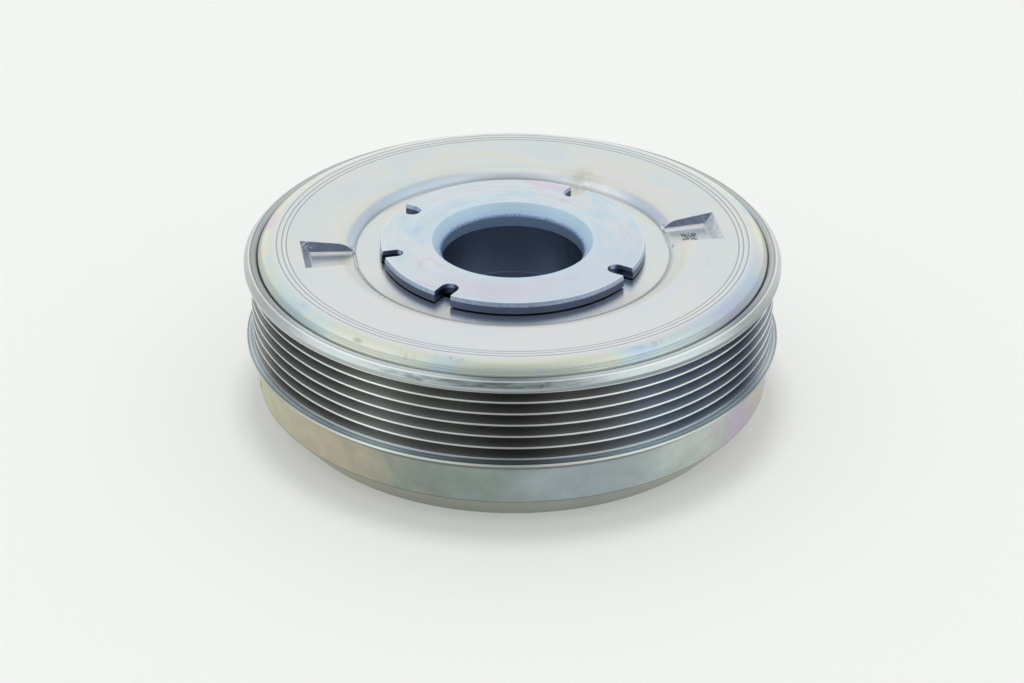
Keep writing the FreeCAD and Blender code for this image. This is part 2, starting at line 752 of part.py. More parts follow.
def check_objects():
    """Stops at the first object that failed to build."""
    for item in document.Objects:
        for state in item.State:
            if state in ("Invalid", "Error"):
                raise RuntimeError(f"{item.Name} is {state}: {item.getStatusString()}")


def write_part(item):
    shape = item.Shape
    if shape.isNull() or not shape.isValid():
        raise RuntimeError(f"{item.Label} has no valid shape")
    shape.exportStep(f"parts/{item.Label}.step")
    box = shape.optimalBoundingBox(True, False)
    print(f"{item.Label}: {len(shape.Solids)} solid(s), {shape.Volume / 1000:.2f} cm3,"
          f" z {box.ZMin:.2f} to {box.ZMax:.2f}, radius {box.XMax:.2f}")


PIECES = [
    make_belt_pulley(),
    make_front_cover(),
    make_front_plate(),
    make_plate_dowel(),
    make_crank_hub(),
    make_inertia_ring(),
    make_damper_rubber(),
    make_bearing_bush(),
    make_pulley_carrier(),
    make_decoupler_rubber(),
    make_stop_plate(),
    make_stop_rivets(),
] + make_stop_buffers()

document.recompute()
check_objects()
os.makedirs("parts", exist_ok=True)
for piece in PIECES:
    write_part(piece)
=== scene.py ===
# %% [markdown]
# A harmonic balancer sits on the nose of an engine's crankshaft. This one stands on a pale table:
# a ribbed belt pulley with a pressed cover, a notched plate in its middle and a heavy ring below.
# The shapes come ready from the CAD model, so this lesson is about finishes: how one zinc plated
# metal gets its tints, its turned lines, its stains, and its painted highlights and painted shade
# from shader nodes alone.
# Pictures wrapped round the shapes could do it too, but nodes stay sharp however near one looks.

# %% Load the model
import math

import bpy
from mathutils import Euler, Matrix, Vector

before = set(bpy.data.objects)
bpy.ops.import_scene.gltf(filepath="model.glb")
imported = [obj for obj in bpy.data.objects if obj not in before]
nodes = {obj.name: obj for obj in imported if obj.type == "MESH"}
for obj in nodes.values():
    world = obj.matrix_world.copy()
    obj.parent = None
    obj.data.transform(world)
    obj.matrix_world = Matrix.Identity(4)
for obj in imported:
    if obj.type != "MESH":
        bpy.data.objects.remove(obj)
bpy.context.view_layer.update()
print("pieces from the model:", ", ".join(sorted(nodes)))

# %% [markdown]
# The camera is placed first, because everything else is judged through it. It could be moved about
# by eye, but a photograph of a round object gives its own measure: the ellipses of the rims say how
# high the camera stood and how far away. So its numbers were fitted. It stood well back with a long
# lens, looked about 30 degrees down, and leaned a little.

# %% Place the camera
MM = 0.001
CAMERA_DISTANCE = 875.7 * MM
CAMERA_ELEVATION = math.radians(28.06)
AIMED_BELOW = math.radians(1.70)
CAMERA_LEAN = math.radians(0.37)
FOCUS_HEIGHT = 46.3 * MM
FOCAL_PIXELS = 3038.0
PHOTO_WIDTH = 1024.0
SENSOR_WIDTH = 36.0

camera_data = bpy.data.cameras.new("camera")
camera_data.sensor_width = SENSOR_WIDTH
camera_data.lens = SENSOR_WIDTH * FOCAL_PIXELS / PHOTO_WIDTH
camera = bpy.data.objects.new("camera", camera_data)
bpy.context.scene.collection.objects.link(camera)
away = Vector((0, -math.cos(CAMERA_ELEVATION), math.sin(CAMERA_ELEVATION)))
tilt = math.radians(90) - CAMERA_ELEVATION - AIMED_BELOW
turn = Euler((tilt, 0, 0)).to_matrix() @ Matrix.Rotation(CAMERA_LEAN, 3, "Z")
camera.matrix_world = Matrix.Translation(away * CAMERA_DISTANCE + Vector((0, 0, FOCUS_HEIGHT)))
camera.matrix_world = camera.matrix_world @ turn.to_4x4()
bpy.context.scene.camera = camera
print("camera at", [round(v, 3) for v in camera.matrix_world.translation])
print("its lens is", round(camera_data.lens, 1), "mm long")

# %% [markdown]
# Shader nodes are wired by hand in Blender's editor, but in a script a long row of Math nodes is
# hard to read. A small class that wraps one output socket lets Python's own operators do it, so
# that 1 - mask * 0.5 adds the nodes it needs. A second class holds the tree of one finish and makes
# every other node through one method, with the node's settings first and its inputs after them.

# %% Wrap a socket, so that sums read as sums
class Wire:
    """One output socket of a finish. An expression on wires adds Math nodes to its tree."""

    def __init__(self, finish, socket):
        self.finish = finish
        self.socket = socket

    def __add__(self, other):
        return self.finish.maths("ADD", self, other)

    def __radd__(self, other):
        return self.finish.maths("ADD", other, self)

    def __sub__(self, other):
        return self.finish.maths("SUBTRACT", self, other)

    def __rsub__(self, other):
        return self.finish.maths("SUBTRACT", other, self)

    def __mul__(self, other):
        return self.finish.maths("MULTIPLY", self, other)

    def __rmul__(self, other):
        return self.finish.maths("MULTIPLY", other, self)

    def __truediv__(self, other):
        return self.finish.maths("DIVIDE", self, other)

    def __rtruediv__(self, other):
        return self.finish.maths("DIVIDE", other, self)

    def __pow__(self, other):
        return self.finish.maths("POWER", self, other)

    def __rpow__(self, other):
        return self.finish.maths("POWER", other, self)

    def __abs__(self):
        return self.finish.maths("ABSOLUTE", self)


# %% A recipe: one node tree, and a finish: the tree of one material
# A Mix node has sockets of the same name for each kind of value, so the colour ones go by number.
MIX_SOCKETS = {"factor": 0, "first": 6, "second": 7, "result": 2}


class Recipe:
    """A node tree with the helpers that fill it."""

    def __init__(self, tree):
        self.tree = tree
        self.tree.nodes.clear()

    def node(self, kind, settings=None, sockets=None, output=0):
        """Makes a node, sets it up, links or fills its inputs and returns one of its outputs."""
        made = self.tree.nodes.new(kind)
        for name, value in (settings or {}).items():
            if name == "stops":
                fill_ramp(made.color_ramp, value)
            else:
                setattr(made, name, value)
        for name, value in (sockets or {}).items():
            self.feed(made.inputs[name], value)
        return Wire(self, made.outputs[output])

    def feed(self, socket, value):
        """Links a wire to an input, or sets the input's own value."""
        if isinstance(value, Wire):
            self.tree.links.new(value.socket, socket)
        else:
            socket.default_value = value

    def maths(self, operation, *values):
        return self.node("ShaderNodeMath", {"operation": operation}, dict(enumerate(values)))

    def fade(self, value, off, on):
        """A soft step: 0 where value is at off, 1 where it is at on."""
        return self.node(
            "ShaderNodeMapRange",
            {"interpolation_type": "SMOOTHSTEP"},
            {"Value": value, "From Min": off, "From Max": on},
        )

    def band(self, value, centre, half_width, soft):
        """1 inside a band round centre, with soft edges."""
        return self.fade(abs(value - centre), half_width + soft, half_width)

    def mix(self, factor, first, second, blend="MIX"):
        """One colour over another."""
        return self.node(
            "ShaderNodeMix",
            {"data_type": "RGBA", "blend_type": blend},
            {
                MIX_SOCKETS["factor"]: factor,
                MIX_SOCKETS["first"]: as_colour(first),
                MIX_SOCKETS["second"]: as_colour(second),
            },
            MIX_SOCKETS["result"],
        )

    def ramp(self, value, stops):
        """A colour that follows a value."""
        settings = {"stops": stops}
        return self.node("ShaderNodeValToRGB", settings, {"Fac": value})

    def noise(self, where, scale, detail=3.0, roughness=0.55, distortion=0.0):
        """Cloudy noise from 0 to 1 at a point of space."""
        sockets = {
            "Vector": where,
            "Scale": scale,
            "Detail": detail,
            "Roughness": roughness,
            "Distortion": distortion,
        }
        return self.node("ShaderNodeTexNoise", {}, sockets)

    def lines(self, along, scale, detail=2.0):
        """Fine parallel lines from 0 to 1, as a lathe leaves, at so many per millimetre."""
        settings = {"noise_dimensions": "1D"}
        sockets = {"W": along, "Scale": scale, "Detail": detail, "Roughness": 0.7}
        return self.node("ShaderNodeTexNoise", settings, sockets)

    def rounded(self, radius):
        """The surface's normal with its sharp edges softened over a radius in metres."""
        return self.node("ShaderNodeBevel", {"samples": 6}, {"Radius": radius})

    def bump(self, height, distance, normal):
        """The normal tilted as if the surface rose by height times a distance in metres."""
        sockets = {"Height": height, "Distance": distance, "Strength": 1.0, "Normal": normal}
        return self.node("ShaderNodeBump", {}, sockets)


class Finish(Recipe):
    """The material of one surface, with its Principled shader."""

    def __init__(self, name):
        self.material = bpy.data.materials.new(name)
        self.material.use_nodes = True
        super().__init__(self.material.node_tree)
        self.shader = self.tree.nodes.new("ShaderNodeBsdfPrincipled")
        self.surface = self.tree.nodes.new("ShaderNodeOutputMaterial").inputs["Surface"]
        self.tree.links.new(self.shader.outputs[0], self.surface)

    def shade(self, **inputs):
        """Feeds the Principled shader. Words of a socket's name are joined by underscores."""
        for name, value in inputs.items():
            socket = self.shader.inputs[name.replace("_", " ").title().replace("Ior", "IOR")]
            self.feed(socket, as_colour(value) if isinstance(value, tuple) else value)


def as_colour(value):
    """A colour as the nodes want it: a wire, or red, green, blue and a full alpha."""
    if isinstance(value, Wire):
        return value
    return (*value[:3], 1.0)


def fill_ramp(ramp, stops):
    """Places a ramp's stops, given as pairs of place and colour."""
    ramp.interpolation = "EASE"
    while len(ramp.elements) < len(stops):
        ramp.elements.new(1.0)
    for element, (place, colour) in zip(ramp.elements, stops):
        element.position = place
        element.color = as_colour(colour)


# %% [markdown]
# Everything here was turned or pressed round one axis, so its marks follow that axis too. Each
# finish therefore starts from the same four measures of a point: how far it is from the axis, how
# high it is, in what direction it lies, and whether its surface faces up or sideways. They come
# from the object's own coordinates, so the marks move with the piece when a joint turns. Two more
# measures follow from them. One gives the direction as a share of a turn, so that a ramp can go
# once round and close. The other squeezes space round the axis, so that noise comes out as streaks.

# %% Measure a point round the axis
class Place:
    """Where a point of the surface lies: millimetres from the axis and up, degrees round it."""

    def __init__(self, finish):
        self.point = finish.node("ShaderNodeTexCoord", output="Object")
        scaled = finish.node(
            "ShaderNodeVectorMath", {"operation": "SCALE"}, {0: self.point, "Scale": 1 / MM}
        )
        split = finish.node("ShaderNodeSeparateXYZ", sockets={0: scaled}).socket.node
        self.x, self.y, self.height = (Wire(finish, split.outputs[i]) for i in range(3))
        self.radius = (self.x * self.x + self.y * self.y) ** 0.5
        degrees = finish.maths("ARCTAN2", self.y, self.x) * math.degrees(1)
        self.angle = finish.maths("WRAP", degrees, 360.0, 0.0)
        normal = finish.node("ShaderNodeNewGeometry", output="Normal")
        split = finish.node("ShaderNodeSeparateXYZ", sockets={0: normal}).socket.node
        self.up = Wire(finish, split.outputs["Z"])
        self.finish = finish

    def turn_share(self, shift=0.0):
        """The direction round the axis as a share of a full turn, for ramps that close there."""
        return self.finish.maths("WRAP", self.angle / 360.0 + shift, 1.0, 0.0)

    def swept(self, round_share, across_share, across=None):
        """A point for noise, drawn out round the axis and squeezed in a measure across it."""
        if across is None:
            across = self.radius + self.height
        turned = {
            "X": self.x / self.radius * round_share,
            "Y": self.y / self.radius * round_share,
            "Z": across * across_share,
        }
        return self.finish.node("ShaderNodeCombineXYZ", sockets=turned)


def spot(finish, place, angle, radius, half_length, half_width, soft=0.6):
    """An oval patch on the surface, long way round the axis, 1 in its middle and 0 outside."""
    along = (place.angle - angle) * (math.radians(1) * radius / half_length)
    across = (place.radius - radius) / half_width
    distance = (along * along + across * across) ** 0.5
    return finish.fade(distance, 1.0 + soft, 1.0 - soft)


def spots(finish, place, listed):
    """1 in each of several spots and 0 between them."""
    return sum(spot(finish, place, *measures) for measures in listed)


# %% [markdown]
# Zinc plating with a clear passivate is pale, and it is never one colour. The film is so thin that
# light of different colours leaves it in patches: faint blue, green, straw and pink. The shader has
# a thin film of its own, but its colours change with the view and can't be placed. A ramp over
# noise can, so one helper gives every plated piece such clouds, at a few centimetres across.

# %% The clouds of colour in zinc plating
FILM_STOPS = [
    (0.28, (0.67, 0.77, 0.85)),
    (0.40, (0.75, 0.82, 0.84)),
    (0.50, (0.78, 0.83, 0.82)),
    (0.58, (0.81, 0.83, 0.79)),
    (0.66, (0.82, 0.80, 0.83)),
    (0.76, (0.73, 0.78, 0.86)),
]
STRONG_STOPS = [
    (0.30, (0.48, 0.62, 0.84)),
    (0.41, (0.66, 0.79, 0.80)),
    (0.50, (0.76, 0.81, 0.66)),
    (0.57, (0.80, 0.79, 0.66)),
    (0.64, (0.78, 0.68, 0.74)),
    (0.72, (0.56, 0.64, 0.84)),
]


def zinc_film(finish, place, stops, round_share=2.2, across_share=0.07):
    """The plating's colour, in soft patches drawn out round the axis."""
    patches = finish.noise(place.swept(round_share, across_share), 1.0, 3.0, 0.5, 0.7)
    clouds = finish.noise(place.point, 55.0, 2.0, 0.5, 0.6)
    return finish.ramp(patches * 0.7 + clouds * 0.3, stops)


def satin(finish, place, low, high):
    """A roughness that wanders between two values, in a fine grain and in wide smears."""
    grain = finish.noise(place.point, 3000.0, 2.0)
    smears = finish.noise(place.swept(6.0, 0.25), 1.0, 3.0, 0.6, 1.0)
    return low + (grain * 0.4 + smears * 0.6) * (high - low)


def shaded(finish, colour, brightness):
    """A colour made darker or lighter by a number that changes over the surface."""
    return finish.node(
        "ShaderNodeVectorMath", {"operation": "SCALE"}, {0: colour, "Scale": brightness}
    )


# %% [markdown]
# The cover is a pressed sheet. Its top is plain satin, and its film is strongest on the outer
# shoulder. Light is painted over it too: a painted pale highlight on the shoulder and the rise at
# the back, and painted blue shade on parts of the low rise. A picture wrapped round the sheet could
# show this, but it would blur up close and its seam would show. Masks of radius and direction stay
# sharp at any distance, and one number moves each of them. The first part of this finish is the
# film on the open sheet.

# %% The cover's film and its bends
# Lengths are in millimetres and directions in degrees. A span is a middle direction, a half width
# and a softness. A spot is a direction, a radius, a half length, a half width and, unless it is the
# usual one, a softness.
FOOT_RADIUS = 45.2
RISE_RADIUS = 50.0
SHOULDER_FROM = 68.6
SHOULDER_TO = 70.6
SHADED_BEND_SPANS = ((148.0, 22.0, 34.0), (30.0, 7.0, 18.0))
LESS_HIGHLIGHT_SPAN = (60.0, 7.0, 14.0)
BLUE_ARC = (330.0, 71.0, 26.0, 2.4, 0.9)
FRONT_LAVENDER = (0.80, 0.81, 0.88)
SHOULDER_BLUE = (0.42, 0.56, 0.84)
PALE_HIGHLIGHT = (0.97, 0.99, 0.99)
BEND_SHADE_BLUE = (0.46, 0.56, 0.70)


def cover_film(finish, place, strong):
    """The film on the open sheet: lavender in front and strong on the shoulder,
    with a painted pale highlight on the shoulder at the back.
    """
    colour = zinc_film(finish, place, FILM_STOPS)
    front = finish.fade(place.y, 10.0, -62.0)
    colour = finish.mix(front * 0.45, colour, FRONT_LAVENDER)
    shoulder = finish.fade(place.radius, SHOULDER_FROM, SHOULDER_TO)
    colour = finish.mix(shoulder * 0.9, colour, strong)
    # Painted highlight: the shoulder at the back is made pale.
    far_highlight = shoulder * finish.fade(place.y, 20.0, 58.0)
    colour = finish.mix(far_highlight * 0.8, colour, PALE_HIGHLIGHT)
    return finish.mix(spot(finish, place, *BLUE_ARC) * 0.6, colour, SHOULDER_BLUE)


def cover_bends(finish, place, colour, strong, rise):
    """The rise from the floor to the crown: the strong film, a painted pale highlight behind,
    and painted blue shade low on the rise, most in two spans of direction.
    """
    colour = finish.mix(rise * 0.35, colour, strong)
    bend = finish.fade(place.up, 0.985, 0.86)
    bend = bend * finish.fade(place.radius, RISE_RADIUS + 3.0, RISE_RADIUS)
    in_shade = sum(finish.band(place.angle, *span) for span in SHADED_BEND_SPANS)
    # Painted highlight on the bend behind the plate, off in the shaded spans and weaker in one
    # more.
    behind = finish.fade(place.y, 0.0, 25.0) * (1.0 - in_shade)
    behind = behind * (1.0 - finish.band(place.angle, *LESS_HIGHLIGHT_SPAN) * 0.8)
    colour = finish.mix(bend * behind * 0.85, colour, PALE_HIGHLIGHT)
    # Painted shade: the low rise is bluer and darker, most in the shaded spans.
    low_rise = finish.fade(place.radius, RISE_RADIUS - 1.0, RISE_RADIUS - 2.4)
    return finish.mix(bend * low_rise * (in_shade * 0.6 + 0.1), colour, BEND_SHADE_BLUE)


# %% [markdown]
# Two pockets are pressed into the cover, opposite each other, and lugs behind it meet them to end
# the pulley's twist. Their steep walls carry painted dark shade, their outer ends are matt and
# painted pale, paler on the right, and painted glints lie round each mouth, along the foot of each
# wall and on the folds where the sheet was gathered. The pockets themselves are modelled. The folds
# are far finer, so one mask both paints their glints and raises them as bump. The right floor also
# has a little square of pin pricks. Placing each would take a long list, so a grid of cells is laid
# out and white noise pricks some of them by chance.

# %% The cover's pockets
POCKET_FLOOR = 46.45
POCKET_ANGLE = 9.4
POCKET_HALF_ANGLE = 9.0
POCKET_MIDDLE = 54.5
POCKET_HALF_LENGTH = 8.4
POCKET_END = 57.66
POCKET_END_SLOPE = 0.807
GLINT_HEIGHT = 0.7
FOLD_SPOTS = ((182.0, 60.2, 2.6, 2.0), (16.8, 60.2, 2.6, 2.0))
POCKET_WALL_SHADE = (0.30, 0.34, 0.44)
PAINTED_END_LIGHT = (0.66, 0.69, 0.74)
FOOT_GLINT = (0.95, 0.97, 1.0)


def along_pockets(place):
    """How far a point lies along the line through both pockets, and how far beside it."""
    turned = math.radians(POCKET_ANGLE)
    along = place.x * math.cos(turned) + place.y * math.sin(turned)
    beside = place.y * math.cos(turned) - place.x * math.sin(turned)
    return along, beside


def pocket_sectors(finish, place):
    """1 in the two opposite sectors that hold the pockets."""
    turned = finish.maths("WRAP", place.angle - POCKET_ANGLE, 90.0, -90.0)
    return finish.band(turned, 0.0, POCKET_HALF_ANGLE, 0.4)


def pressed_pockets(finish, place, colour, along):
    """The pockets over the sheet's colour, with masks of them, their matt ends and their folds.
    Their walls get painted shade, their outer ends painted light, paler on the right, and their
    mouths, feet and folds painted glints.
    """
    sectors = pocket_sectors(finish, place)
    pocket = sectors * finish.band(place.radius, POCKET_MIDDLE, POCKET_HALF_LENGTH, 0.4)
    # Painted glint round the mouth of each pocket.
    mouth = sectors * finish.band(place.radius, FOOT_RADIUS + 0.7, 0.3, 0.3)
    colour = finish.mix(mouth * 0.8, colour, FOOT_GLINT)
    wall = pocket * finish.fade(place.up, 0.85, 0.7)
    streaks = finish.noise(place.swept(30.0, 0.5), 1.0, 3.0, 0.6)
    end_wall = (place.height - POCKET_FLOOR) * POCKET_END_SLOPE + POCKET_END
    right = finish.fade(place.x, -5.0, 5.0)
    outer = finish.fade(abs(along) - end_wall, -0.3, -0.1) * (right * 0.6 + 0.4)
    # Painted shade on the walls, and painted light on the outer end walls, paler on the right.
    wall_light_and_shade = finish.mix(outer, POCKET_WALL_SHADE, PAINTED_END_LIGHT)
    colour = finish.mix(wall, colour, shaded(finish, wall_light_and_shade, streaks + 0.5))
    # Painted glints on the folds in the outer corners.
    corners = spots(finish, place, FOLD_SPOTS) * finish.fade(place.up, 0.9, 0.6)
    gathers = finish.noise(place.swept(45.0, 1.1), 1.0, 2.0, 0.6)
    folds = corners * finish.fade(gathers, 0.50, 0.60)
    colour = finish.mix(folds * 0.8, colour, FOOT_GLINT)
    # Painted glint along the foot of each back wall, higher on the right pocket.
    glint_top = POCKET_FLOOR + GLINT_HEIGHT + right * 0.35
    glint = wall * (1.0 - outer) * finish.fade(place.height - glint_top, 0.15, -0.15)
    colour = finish.mix(glint, colour, FOOT_GLINT)
    return colour, pocket, wall * outer, folds


# %% A square of pin pricks on the right pocket's floor
PRICK_PLACE = (52.2, 0.7)
PRICK_CELL = 0.44
PRICK_HALF = 2.2
PRICK_BROWN = (0.10, 0.09, 0.085)


def pin_pricks(finish, place, along, beside):
    """A small square of cells, each one pricked or left plain at random."""
    along = along - PRICK_PLACE[0]
    beside = beside - PRICK_PLACE[1]
    column = finish.maths("FLOOR", along / PRICK_CELL)
    row = finish.maths("FLOOR", beside / PRICK_CELL)
    cell = finish.node("ShaderNodeCombineXYZ", sockets={"X": column, "Y": row})
    chance = finish.node("ShaderNodeTexWhiteNoise", sockets={"Vector": cell})
    inside = finish.band(along, 0.0, PRICK_HALF, 0.02) * finish.band(beside, 0.0, PRICK_HALF, 0.02)
    cells = finish.fade(chance, 0.36, 0.42) * 0.75 + 0.25
    return inside * cells * finish.fade(place.up, 0.9, 0.98)


# %% [markdown]
# The last layers are marks that a tool or a hand left, and painted shade. A lathe scored three
# rings near the shoulder and fine lines beside the seam. The rings are darkened as painted shade in
# their grooves, with a painted highlight beside each. The sunk floor and its rise get painted shade
# towards the viewer, and a line of painted shade runs along the corner at the foot of the rise.
# Then came a brown stain behind the plate, a small dent and faint scuffs. Each lies over the film
# as a mask with a colour of its own. Cut into the mesh, such marks would cost thousands of faces
# and look the same from where a person stands.

# %% The cover's turned lines and its marks of use
SCORED_RINGS = (65.0, 66.3, 67.8)
SCORE_HALF_WIDTH = 0.11
SCORE_SOFT = 0.2
SCORE_BESIDE = 0.34
SEAM_RADIUS = 73.3
STAIN_SPOT = (64.0, 45.5, 4.2, 5.5, 0.9)
DENT_SPOT = (234.1, 71.3, 1.5, 0.55, 0.5)
SCUFF_SPOTS = (
    (256.4, 70.3, 3.6, 0.7, 0.9),
    (247.0, 71.6, 2.2, 0.7, 0.9),
    (303.7, 70.8, 5.0, 0.7, 0.9),
)
LINE_AND_SHADE_GREY = (0.34, 0.37, 0.41)
RECESS_SHADE_GREY = (0.50, 0.50, 0.46)
STAIN_BROWN = (0.52, 0.45, 0.38)
DENT_GREY = (0.36, 0.37, 0.36)


def scored_rings(finish, place, beside=0.0):
    """1 in each scored ring, or in a line beside it, and 0 between them."""
    rings = (radius + beside for radius in SCORED_RINGS)
    return sum(finish.band(place.radius, ring, SCORE_HALF_WIDTH, SCORE_SOFT) for ring in rings)


def shade_recess(finish, place, colour, rise, recess):
    """Painted shade: the sunk floor and its rise are greyer and darker towards the viewer,
    and a line of painted shade runs in the corner between them.
    """
    # Painted shade towards the viewer on the sunk floor and on its rise.
    near_floor = recess * finish.fade(place.y, -15.0, -38.0)
    colour = finish.mix(near_floor * 0.55, colour, RECESS_SHADE_GREY)
    near_rise = rise * finish.fade(place.y, 10.0, -30.0)
    colour = finish.mix(near_rise * 0.35, colour, RECESS_SHADE_GREY)
    # A line of painted shade in the corner where the floor meets the rise.
    foot = finish.band(place.radius, FOOT_RADIUS + 0.1, 0.12, 0.35)
    return finish.mix(foot * 0.45, colour, LINE_AND_SHADE_GREY)


def marks_of_use(finish, place, colour):
    """A stain, a dent and scuffs over the colour, with a mask of the dent."""
    grime = finish.noise(place.swept(9.0, 0.2), 1.0, 3.0, 0.6)
    stain = spot(finish, place, *STAIN_SPOT) * finish.fade(grime, 0.36, 0.60)
    colour = finish.mix(stain * 0.5, colour, STAIN_BROWN)
    dent = spot(finish, place, *DENT_SPOT)
    colour = finish.mix(dent * 0.55, colour, DENT_GREY)
    broken = finish.fade(finish.noise(place.swept(40.0, 1.2), 1.0, 4.0, 0.7), 0.45, 0.62)
    scuffs = spots(finish, place, SCUFF_SPOTS) * broken
    return finish.mix(scuffs * 0.5, colour, DENT_GREY), dent


# %% Put the cover's finish together
def make_cover_finish():
    finish = Finish("zinc_cover")
    place = Place(finish)
    along, beside = along_pockets(place)
    strong = zinc_film(finish, place, STRONG_STOPS, 3.0, 0.16)
    rise = finish.band(place.radius, (FOOT_RADIUS + RISE_RADIUS) / 2, 1.6, 2.2)
    colour = cover_film(finish, place, strong)
    colour = cover_bends(finish, place, colour, strong, rise)
    colour, pocket, matt_end, folds = pressed_pockets(finish, place, colour, along)
    scores = scored_rings(finish, place)
    # Painted highlight: a pale line beside each scored ring.
    colour = finish.mix(scored_rings(finish, place, SCORE_BESIDE) * 0.5, colour, PALE_HIGHLIGHT)
    # Painted shade in the scored rings.
    colour = finish.mix(scores * 0.75, colour, LINE_AND_SHADE_GREY)
    recess = finish.fade(place.radius, FOOT_RADIUS, FOOT_RADIUS - 0.4)
    colour = shade_recess(finish, place, colour, rise, recess)
    seam_lines = finish.fade(place.radius, SEAM_RADIUS - 2.2, SEAM_RADIUS - 0.6)
    seam_lines = seam_lines * finish.fade(finish.lines(place.radius, 3.2), 0.48, 0.60)
    colour = finish.mix(seam_lines * 0.45, colour, LINE_AND_SHADE_GREY)
    colour, dent = marks_of_use(finish, place, colour)
    pricks = pin_pricks(finish, place, along, beside)
    colour = finish.mix(pricks * 0.85, colour, PRICK_BROWN)
    grain = finish.noise(place.point, 1500.0, 3.0)
    height = grain * 0.15 - scores - dent - pricks * 0.5 - seam_lines * 0.5
    height = height + pocket * finish.fade(place.height, POCKET_FLOOR + 0.8, POCKET_FLOOR) * 8.0
    height = height + folds * 6.0
    finish.shade(
        base_color=colour,
        metallic=1.0 - matt_end * 0.75,
        roughness=satin(finish, place, 0.26, 0.42) - recess * 0.09,
        normal=finish.bump(height, 0.08 * MM, finish.rounded(0.4 * MM)),
    )
    return finish.material


cover_finish = make_cover_finish()
print("cover finish has", len(cover_finish.node_tree.nodes), "nodes")

# %% [markdown]
# The notched plate was machined all over and plated, and its film came out bluer. Its top shows
# soft smears that run round the bore. Its rim has two bands, a lighter one where a tool broke the
# edge and a dark one below, which is painted shade over the blue film and darker still to the
# sides. A painted highlight runs along the top edge. Each band could be a material of its own on
# faces of its own, but a film has no such hard borders. So one finish follows the radius and the
# height of each point.

# %% The plate's top and its rim
PLATE_TOP = 50.3
EDGE_DROP = 1.35
BLUSH_SPOT = (262.0, 31.0, 13.0, 4.0, 0.9)
FRONT_RIM_SPAN = (268.0, 14.0, 24.0)
PLATE_STOPS = [
    (0.28, (0.52, 0.68, 0.86)),
    (0.42, (0.66, 0.79, 0.88)),
    (0.54, (0.74, 0.81, 0.86)),
    (0.63, (0.74, 0.70, 0.82)),
    (0.74, (0.62, 0.74, 0.90)),
]
PLATE_PERIWINKLE = (0.64, 0.72, 0.85)
PLATE_BLUSH = (0.76, 0.64, 0.75)
RIM_SHADE_BLUE = (0.15, 0.18, 0.30)
RIM_SHADE_SLATE = (0.23, 0.27, 0.40)
EDGE_STEEL = (0.56, 0.65, 0.86)


def plate_top(finish, place):
    """The blue film of the top, smeared round the bore, with a faint blush in front."""
    top = zinc_film(finish, place, PLATE_STOPS, 1.8, 0.10)
    smears = finish.noise(place.swept(2.5, 0.8), 1.0, 3.0, 0.6, 0.6)
    top = shaded(finish, top, smears * 0.22 + 0.90)
    front = finish.fade(place.x * 0.5 - place.y, -5.0, 35.0)
    top = finish.mix(front * 0.6, top, PLATE_PERIWINKLE)
    return finish.mix(spot(finish, place, *BLUSH_SPOT) * 0.5, top, PLATE_BLUSH)


def plate_rim(finish, place):
    """The rim's band of painted shade, darker to the sides,
    and the lighter strip along its upper edge.
    """
    rim = finish.mix(finish.lines(place.height, 3.0), RIM_SHADE_BLUE, RIM_SHADE_SLATE)
    aside = 1.0 - finish.band(place.angle, *FRONT_RIM_SPAN)
    # Painted shade: the rim is darker to the sides.
    rim = shaded(finish, rim, 1.0 - aside * 0.45)
    broken = finish.noise(place.swept(60.0, 1.5), 1.0, 3.0, 0.7)
    edge_foot = PLATE_TOP - EDGE_DROP
    strip = finish.fade(place.height + broken * 0.3, edge_foot, edge_foot + 0.3)
    rim = finish.mix(strip, rim, shaded(finish, EDGE_STEEL, broken + 0.5))
    # A thin line of painted shade along the step below the strip.
    step = finish.band(place.height, edge_foot, 0.06, 0.12)
    return finish.mix(step * 0.6, rim, RIM_SHADE_BLUE)


# %% [markdown]
# The mouth of the plate's bore is a dish that glows blue, because the film is thick and nearly matt
# there, and the bore itself is dark. A ramp over the depth gives the dish its colours. Fine noise
# is added to the depth first, so that the film ends in speckles below and not along a drawn line.

# %% The dish of the bore, and the plate's whole finish
PLATE_RADIUS = 38.2
DISH_RADIUS = 23.3
DISH_DEPTH = 3.5
BORE_RADIUS = 20.5
EDGE_HIGHLIGHT = (0.90, 0.97, 1.0)
DISH_STOPS = [
    (0.0, (0.10, 0.14, 0.27)),
    (0.12, (0.24, 0.34, 0.56)),
    (0.26, (0.46, 0.62, 0.82)),
    (0.6, (0.50, 0.68, 0.84)),
    (1.0, (0.54, 0.70, 0.82)),
]
BORE_BLUE = (0.21, 0.31, 0.47)


